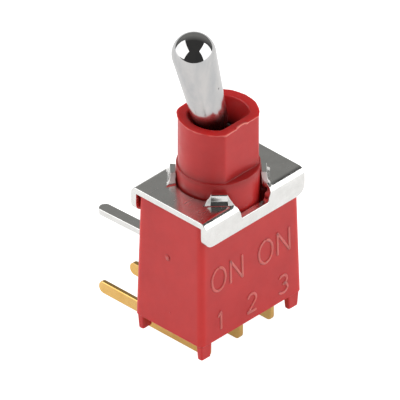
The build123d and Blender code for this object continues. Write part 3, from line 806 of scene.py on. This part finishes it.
def sheetGrid():
    # each column is a closed loop round the sheet's section: in along the top, up and over the lug, down the
    # inner edge, back out along the underside and round the outer edge
    steps = np.array([9.0, 9.5, 9.8, 9.9, 10.05, 10.25, 10.6, 11.2, 15.4, 18.2, 18.6, 19.0])
    lugEdge = np.concatenate([45 - steps, 45 + steps])
    a = columnsWith(1.0, np.concatenate([lugEdge, np.arange(56.5, 59, 0.25), np.arange(70.5, 75, 0.3)]))
    outer, innerAt, height, phi, tilt = sheetEdges(a)
    ease, sheet, bend, lean = k["ease"], k["sheet"], k["lugBend"], k["lugLean"]
    inner = innerAt(0)
    lug = np.clip((k["lugRoot"] + 0.8 - phi) / 0.8, 0, 1)
    toe = k["lugFace"] + k["lugSheet"] + bend
    plain = inner + 2 * ease
    foot = np.maximum(plain, lug * (toe + lean * k["lugRise"]) / tilt + (1 - lug) * plain)
    rows, row = rowsOver(a)
    for share in np.linspace(0, 1, 46):
        row((outer - ease) * (1 - share) + foot * share, 0)
    # up the root's curve and the leaning back, over the top and down the face
    psi = np.arccos(np.clip(1 - height / bend, 0, 1))

    def backAt(rise, turn):
        return foot - (bend * np.sin(turn) + lean * rise) / tilt

    for share in np.linspace(0, 1, 8)[1:]:
        rise = bend * (1 - np.cos(psi * share))
        row(backAt(rise, psi * share), -rise)
    reached = bend * (1 - np.cos(psi))
    edge = np.minimum(0.06, np.maximum(height, 0.02))
    shoulder = np.maximum(height - edge, reached)
    for share in (0.3, 0.7, 1.0):
        rise = reached + (shoulder - reached) * share
        row(backAt(rise, psi), -rise)
    top, face = backAt(shoulder, psi), innerAt(height)
    rounding = np.minimum(edge, np.maximum(top - face, 0) / 2)
    for up, inward in quarterTurn(4)[1:]:
        row(top - rounding * inward, -(shoulder + (height - shoulder) * up))
    row(face + ease + np.maximum(top - face, 0) * 0.02, -height)
    for up, inward in quarterTurn(4):
        row(face + ease * (1 - up), -(height - ease * inward))
    under = ease * (1 - lug) + bend * lug
    low = sheet - under
    for share in (0.05, 0.5, 0.95):
        depth = -(height - ease) * (1 - share) + low * share
        row(innerAt(np.maximum(-depth, 0)), depth)
    for up, inward in quarterTurn(6):
        row(inner + under * inward, low + under * up)
    for share in np.linspace(0.03, 1, 32):
        row((inner + under) * (1 - share) + (outer - ease) * share, sheet)
    for up, inward in quarterTurn(4):
        row(outer - ease * (1 - up), sheet - ease * inward)
    row(outer, sheet / 2)
    for up, inward in quarterTurn(4):
        row(outer - ease * inward, ease * (1 - up))
    distance, depth = np.moveaxis(np.array(rows), 1, 0)
    return folded(distance * np.cos(a), distance * np.sin(a), depth)


bracketSkin = addSurface("bracketSkin", sheetGrid(), wrapRows=True)
spots = pointsOf(bracketSkin)
aside = np.abs(np.degrees(np.arctan2(spots[:, 1], spots[:, 0])) % 90 - 45)
onFlank = (spots[:, 2] > plateTop + 0.03) & (aside > k["lugHalf"] + 0.05) & (aside < k["lugTorn"])
giveShare(bracketSkin, "sheared", onFlank)
place(bracketSkin, "switch_body", tinPlate, "tin_plate", "support_bracket")


def stripGrid(x, path, half, thick, tip):
    # a flat strip carried along a path in the YZ plane: its section is a rectangle with eased corners,
    # narrowed to a round end over the last part of the path
    ahead = np.gradient(path, axis=0)
    ahead = ahead / np.linalg.norm(ahead, axis=1)[:, None]
    run = runAlong(path)
    left = np.clip(run[-1] - run, 0, tip)
    width = half * np.sqrt(np.maximum(1 - (1 - left / tip) ** 2, 0))
    b = columnsWith(10, np.arange(22, 36, 1.5))
    ray = np.stack([boxRay(b, max(w, 1e-4), thick / 2, min(0.04, max(w, 1e-4) * 0.9)) for w in width])
    across, out = ray * np.cos(b), ray * np.sin(b)
    y = path[:, :1] - ahead[:, 1:] * out
    z = path[:, 1:] + ahead[:, :1] * out
    grid = np.stack([x + across, y, z], axis=-1)
    start = np.broadcast_to(np.array([x, *path[0]]), grid[:1].shape)
    end = np.broadcast_to(np.array([x, *path[-1]]), grid[:1].shape)
    return np.concatenate([start, grid, end])


def legPath(sideName):
    # down the flange, round the bend and out to the tip, with its last points closer and closer together
    level = mounts["bracket_legs"][2]
    root = np.array([boardPlane - k["sheet"] / 2, level + k["legRoot"]])
    tip = np.array([bracketHigh[1] - k["legShort"], level + k["legTip"][sideName]])
    bendPart = roundedPath([(root[0], plateTop - k["flange"] + 0.10), root, tip], [k["legBend"]], steps=14)
    back = (root - tip) / np.linalg.norm(root - tip)
    tipRun = k["legWidth"] / 2 * (1 - np.sin(np.linspace(0, math.pi / 2, 14)[:-1]))
    return np.concatenate([bendPart[:-1], tip + back * tipRun[:, None], [tip + back * 0.0005]])


legHalf = k["legWidth"] / 2
for sideName, x in (("left", -k["legX"]), ("right", k["legX"])):
    strip = stripGrid(x, legPath(sideName), legHalf, k["sheet"] - 0.002, legHalf)
    leg = addSurface(f"bracketLeg_{sideName}", strip)
    place(leg, "switch_body", tinPlate, "tin_plate")
print("bracket folded")


# terminals and inner pieces

for node in ("terminal_left", "common_terminal", "terminal_right"):
    blade = refined(node + "_blade", node, bevel=0.07, segments=4)      # as round as a stamped blade's edge
    place(blade, "switch_body", goldPlate, "gold_plate", node)

innerFinishes = {
    "pivot_pin": drawnSteel, "plunger_spring": drawnSteel, "plunger": blackNylon, "rocker_contact": goldPlate,
    "moving_contact_left": goldPlate, "moving_contact_right": goldPlate, "fixed_contact_left": goldPlate,
    "fixed_contact_right": goldPlate, "base_block": basePlastic, "epoxy_seal": pouredEpoxy,
}
for node, finish in innerFinishes.items():
    nodes[node].data.materials.clear()
    nodes[node].data.materials.append(finish)
print("contacts and base")


# lever: a turned bat with a polished end

batShape = {
    "stem": 4.60, "neck": 0.85, "ball": 1.36, "bore": 0.55, "boreEnd": 0.75,
    "neckTop": 2.10, "shoulder": 0.20,
    "endCentre": 7.759, "endRadius": 1.27, "taper": math.radians(3.0), "footTop": 3.64, "footRun": 0.46,
}


def batProfile():
    # (radius, height above the pivot) from the stem's open end up the outside to the tip, then down the bore
    b = batShape
    join = math.sqrt(b["ball"] ** 2 - b["neck"] ** 2)
    coneTop = b["endCentre"] - b["endRadius"] * math.sin(b["taper"])
    coneRadius = b["endRadius"] * math.cos(b["taper"])
    shoulderTop = b["neckTop"] + b["shoulder"]
    shoulderRadius = coneRadius - (coneTop - shoulderTop) * math.tan(b["taper"])
    start = math.atan2(join, b["neck"])
    ball = np.linspace(-start, start, 24)[:, None]
    ballArc = b["ball"] * np.concatenate([np.cos(ball), np.sin(ball)], axis=1)
    stem = np.array([(b["bore"], -b["stem"]), (b["neck"] - 0.10, -b["stem"]), (b["neck"], -b["stem"] + 0.10)])
    bends = [(b["neck"], b["neckTop"]), (shoulderRadius, shoulderTop)]
    neck = roundedPath([(b["neck"], join + 0.03), *bends, (coneRadius, coneTop - 0.02)], [0.25, 0.30], 7)
    rise = np.linspace(0, 1, 40)[1:, None]
    cone = neck[-2] * (1 - rise) + np.array([coneRadius, coneTop]) * rise
    end = np.linspace(-b["taper"], math.pi / 2, 48)[1:, None]
    endArc = b["endRadius"] * np.concatenate([np.cos(end), np.sin(end)], axis=1) + (0, b["endCentre"])
    endArc[-1, 0] = 0
    bore = np.array([(0, -b["boreEnd"]), (b["bore"], -b["boreEnd"])])
    return np.concatenate([bore, stem, ballArc, neck[:-1], cone, endArc])


bat = addSurface("leverBat", tipped(turnedGrid(batProfile(), 144), -leverTilt, pivot))
# the tumbled plating is brightest on the round end: the share of polish rises along the lever's own axis
leverAxis = np.array([-math.sin(leverTilt), 0, math.cos(leverTilt)])
along = (pointsOf(bat) - pivot) @ leverAxis
giveShare(bat, "polish", (along - batShape["endCentre"] - 0.05) / 0.5)
# painted shade: the foot share darkens the lower taper's colour
giveShare(bat, "foot", (batShape["footTop"] - along) / batShape["footRun"])
place(bat, "lever", chromePlate, "chrome_plate", "toggle_lever")

ringShape = {"radius": 1.32, "cord": 0.18, "rise": 0.831}


def ringGrid():
    # a torus: radius R + r cos b, height r sin b
    a = np.linspace(0, 2 * math.pi, 96, endpoint=False)[None, :]
    b = np.linspace(0, 2 * math.pi, 28, endpoint=False)[:, None]
    reach = ringShape["radius"] + ringShape["cord"] * np.cos(b)
    level = pivot[2] + ringShape["rise"] + ringShape["cord"] * np.sin(b) + 0 * a
    return np.stack([reach * np.cos(a), reach * np.sin(a), level], axis=-1)


sealRing = addSurface("sealRing", ringGrid(), wrapRows=True)
place(sealRing, "switch_body", sealRubber, "seal_rubber", "lever_seal_ring")
print("lever and seal")


# the gate's round mark and a speck, both on the left wall

gateShape = {
    "gateMark": {"y": 0.10, "level": 6.65, "radius": 0.19, "rise": 0.06},
    "wallSpeck": {"y": -0.15, "level": 3.05, "radius": 0.05, "rise": 0.018},
}


def domeGrid(y, level, radius, rise):
    # a low dome on the left wall: out = rise * sqrt(1 - share squared), with its edge just inside the wall
    a = np.linspace(0, 2 * math.pi, 40, endpoint=False)
    share = np.sin(np.linspace(math.pi / 2, 0, 10))[:, None]
    out = np.concatenate([[[-0.03]], [[-0.03]], rise * np.sqrt(1 - share ** 2)]) + 0 * a
    share = np.concatenate([[[0.0]], [[1.0]], share])
    z = level + radius * share * np.sin(a)
    climb = (z - underside) / s["height"]
    wall = -(s["baseHalf"][0] * (1 - climb) + s["topHalf"][0] * climb)
    return np.stack([wall - out, y + radius * share * np.cos(a), z], axis=-1)


for name, shape in gateShape.items():
    dome = addSurface(name, domeGrid(**shape))
    offCentre = np.hypot(pointsOf(dome)[:, 1] - shape["y"], pointsOf(dome)[:, 2] - shape["level"])
    # painted highlight: the dome is palest at its middle
    giveShare(dome, "paintedHighlight", 0.45 - 0.45 * offCentre / shape["radius"])
    place(dome, "switch_body", redNylon, "red_nylon")


# raised marks on the front face

markShape = {
    "stroke": 0.165, "proud": 0.050, "spacing": 0.82,
    "topHeight": 1.75, "topLevel": 5.75, "lowHeight": 1.35, "lowLevel": 2.90,
}


def bow(centreX, centreZ, radiusX, radiusZ, start, end):
    # part of an ellipse, from one angle to another in degrees: x = cx + rx cos a, z = cz + rz sin a
    a = np.radians(np.linspace(start, end, 28))
    return np.stack([centreX + radiusX * np.cos(a), centreZ + radiusZ * np.sin(a)], axis=-1)


# each mark's strokes in a frame one unit high, centred on the origin
markStrokes = {
    "O": [bow(0, 0, 0.31, 0.43, 90, 449)],
    "N": [[(-0.27, -0.43), (-0.27, 0.43), (0.27, -0.43), (0.27, 0.43)]],
    "1": [[(-0.16, 0.24), (0.04, 0.43), (0.04, -0.43)]],
    "2": [[*bow(0, 0.18, 0.25, 0.25, 165, -38), (-0.26, -0.43), (0.27, -0.43)]],
    "3": [[*bow(-0.02, 0.21, 0.24, 0.22, 150, -80), *bow(-0.02, -0.21, 0.27, 0.22, 85, -150)]],
}


def evenPath(path):
    # the same line with its points 0.03 mm apart all along it
    path = np.array(path, float)
    run = runAlong(path)
    where = np.linspace(0, run[-1], max(int(run[-1] / 0.03), 4))
    return np.stack([np.interp(where, run, path[:, 0]), np.interp(where, run, path[:, 1])], axis=-1)


def frontFace(x, z):
    # the front face leans: its depth grows evenly from the top edge to the base
    share = (z - underside) / s["height"]
    return np.stack([x, -(s["baseHalf"][1] * (1 - share) + s["topHalf"][1] * share) + 0 * x, z], axis=-1)


def ridgeGrid(path, centreX, level):
    # a low rounded ridge carried along the stroke: across = w cos b, out = h sin b, with its feet in the wall
    # and round ends, where the width and the height fall off as a quarter circle
    ahead = np.gradient(path, axis=0)
    ahead = ahead / (np.linalg.norm(ahead, axis=1)[:, None] + 1e-9)
    side = np.stack([-ahead[:, 1], ahead[:, 0]], axis=-1)
    run = runAlong(path)
    half = markShape["stroke"] / 2
    left = np.clip(np.minimum(run, run[-1] - run) + 0.004, 0, half) / half
    swell = np.sqrt(1 - (1 - left) ** 2)
    b = np.linspace(0, 2 * math.pi, 14, endpoint=False)[:, None]
    across = half * swell * np.cos(b)
    out = markShape["proud"] * swell * np.clip(1.5 * np.sin(b), -1, 1)
    x = centreX + path[:, 0] + across * side[:, 0]
    z = level + path[:, 1] + across * side[:, 1]
    points = frontFace(x, z)
    points[..., 1] -= out
    tips = [np.broadcast_to(points[:, end].mean(axis=0), points[:, :1].shape) for end in (0, -1)]
    return np.concatenate([tips[0], points, tips[1]], axis=1)


marks = (
    ("ON", -1.90, "topLevel", "topHeight"), ("ON", 1.90, "topLevel", "topHeight"),
    ("1", -2.54, "lowLevel", "lowHeight"), ("2", 0.0, "lowLevel", "lowHeight"),
    ("3", 2.54, "lowLevel", "lowHeight"),
)
for number, (text, centreX, level, height) in enumerate(marks):
    size = markShape[height]
    points, quads, thirds, offset = [], [], [], 0
    for turn, letter in enumerate(text):
        shift = (turn - (len(text) - 1) / 2) * size * markShape["spacing"]
        for stroke in markStrokes[letter]:
            grid = ridgeGrid(evenPath(np.array(stroke) * size), centreX + shift, markShape[level])
            found, fours, threes = weld(grid.reshape(-1, 3), gridFaces(*grid.shape[:2], True, False))
            points.append(found)
            quads.append(fours + offset)
            thirds.append(threes + offset)
            offset += len(found)
    mark = addMesh(f"mark_{number + 1}", *(np.concatenate(part) for part in (points, quads, thirds)))
    place(mark, "switch_body", paintedLightMarkRed, "red_nylon")
print("marks raised")


# floor, light and camera

stageShape = {
    "near": 0.075, "far": 0.60, "side": 0.40,       # the floor's reach from the object, in metres
    "paper": 0.40, "glow": 0.60, "nearGlow": 0.31, "shadeFrom": 0.002, "shadeTo": 0.009, "seen": 1.0,
    "lampDistance": 0.30,
    "lamps": {
        "leftBox": {"azimuth": 141, "elevation": 27, "width": 0.46, "height": 0.33, "watts": 0.80},
        "rightBox": {"azimuth": -60, "elevation": 19, "width": 0.36, "height": 0.35, "watts": 0.77},
        # the overhead lamp only fills: it has no mirror image in the metal
        "topBox": {
            "azimuth": 0, "elevation": 90, "width": 0.30, "height": 0.30, "watts": 0.40, "mirrored": False,
        },
    },
    "behind": (0.72, 0.69, 0.0), "darkFrom": 0.3, "lightFrom": 0.8, "backdrop": 1.05,
}
t = stageShape
nearWay = Vector((-0.7215, -0.692, 0.0))        # towards the camera along the floor, and across that
sideWay = Vector((0.692, -0.7215, 0.0))


def grey(value):
    return (value, value, value)


def floorFinish():
    # pale paper with a glow of its own: full where it is looked at, less in the light that it gives, and
    # least close to the object, a painted shadow of the object; from beneath it is clear, so that the underside
    # can be seen
    finish, tree, shader, where = newFinish("floorPaper", Roughness=0.9, Emission_Strength=1.0)
    link = tree.links.new
    clouds = putGroup(tree, softClouds, where, Size=6.0, Contrast=0.4)
    paper = colourBetween(tree, clouds, grey(t["paper"] - 0.01), grey(t["paper"] + 0.01))
    link(paper, shader.inputs["Base Color"])
    away = addNode(tree, "VectorMath", operation="LENGTH")
    link(where, away.inputs[0])
    spread = numberBetween(tree, away.outputs["Value"], 0.0, 1.0, t["shadeFrom"], t["shadeTo"])
    glow = colourBetween(tree, spread, grey(t["nearGlow"]), grey(t["glow"]))
    straightOn = addNode(tree, "LightPath").outputs["Is Camera Ray"]
    link(mixed(tree, straightOn, glow, grey(t["seen"])), shader.inputs["Emission Color"])
    oneSided = addNode(tree, "MixShader")
    link(addNode(tree, "NewGeometry").outputs["Backfacing"], oneSided.inputs[0])
    link(shader.outputs[0], oneSided.inputs[1])
    link(addNode(tree, "BsdfTransparent").outputs[0], oneSided.inputs[2])
    link(oneSided.outputs[0], tree.nodes["Material Output"].inputs["Surface"])
    return finish


near, far, side = t["near"], t["far"], t["side"]
places = ((near, -side), (near, side), (-far, side), (-far, -side))
corners = [tuple(nearWay * ahead + sideWay * aside) for ahead, aside in places]
floorMesh = bpy.data.meshes.new("floor")
floorMesh.from_pydata(corners, [], [(0, 1, 2, 3)])
floor = addObject("floor", floorMesh)
floor.data.materials.append(floorFinish())

middle = Vector(((cadBox[0][0] + cadBox[1][0]) / 2, 0.0, (cadBox[0][2] + cadBox[1][2]) / 2))


def towards(azimuth, elevation):
    # the unit vector (cos turn cos rise, sin turn cos rise, sin rise)
    turn, rise = math.radians(azimuth), math.radians(elevation)
    return Vector((math.cos(turn) * math.cos(rise), math.sin(turn) * math.cos(rise), math.sin(rise)))


def softBox(name, azimuth, elevation, width, height, watts, mirrored=True):
    # an area light that faces the object from a direction
    light = bpy.data.lights.new(name, "AREA")
    light.shape = "RECTANGLE"
    light.size, light.size_y, light.energy = width, height, watts
    lamp = addObject(name, light)
    away = towards(azimuth, elevation)
    lamp.location = middle + away * t["lampDistance"]
    lamp.rotation_euler = away.to_track_quat("Z", "Y").to_euler()
    lamp.visible_glossy = mirrored


for lampName, lampShape in t["lamps"].items():
    softBox(lampName, **lampShape)


def addStudio():
    # a dim room: grey behind the object, darker on the other side, and seen straight on as white as the floor
    world = bpy.data.worlds.new("studio")
    world.use_nodes = True
    tree = world.node_tree
    link = tree.links.new
    across = addNode(tree, "VectorMath", operation="DOT_PRODUCT")
    across.inputs[1].default_value = t["behind"]
    link(addNode(tree, "TexCoord").outputs["Generated"], across.inputs[0])
    span = numberBetween(tree, across.outputs["Value"], 0.0, 1.0, t["darkFrom"], t["lightFrom"])
    room = tree.nodes["Background"]
    link(colourBetween(tree, span, (0.05, 0.05, 0.05), (0.235, 0.235, 0.228)), room.inputs["Color"])
    backdrop = addNode(tree, "Background", Strength=t["backdrop"], Color=(1, 1, 1, 1))
    either = addNode(tree, "MixShader")
    link(addNode(tree, "LightPath").outputs["Is Camera Ray"], either.inputs[0])
    link(room.outputs[0], either.inputs[1])
    link(backdrop.outputs[0], either.inputs[2])
    link(either.outputs[0], tree.nodes["World Output"].inputs["Surface"])
    bpy.context.scene.world = world


addStudio()

cameraShape = {
    "azimuth": -46.17, "elevation": 34.68, "distance": 0.40, "aim": (-0.517, 0.928, 8.456), "width": 22.47,
}


def addCamera():
    c = cameraShape
    back = towards(c["azimuth"] - 90, c["elevation"])       # its azimuth is counted from straight in front
    data = bpy.data.cameras.new("camera")
    data.type = "ORTHO"
    data.ortho_scale = c["width"] * mm
    data.clip_start = 0.02
    data.clip_end = 20
    camera = addObject("camera", data)
    camera.location = Vector(c["aim"]) * mm + back * c["distance"]
    camera.rotation_euler = back.to_track_quat("Z", "Y").to_euler()
    bpy.context.scene.camera = camera


addCamera()
bpy.context.scene.view_settings.view_transform = "Standard"
print("stage ready")
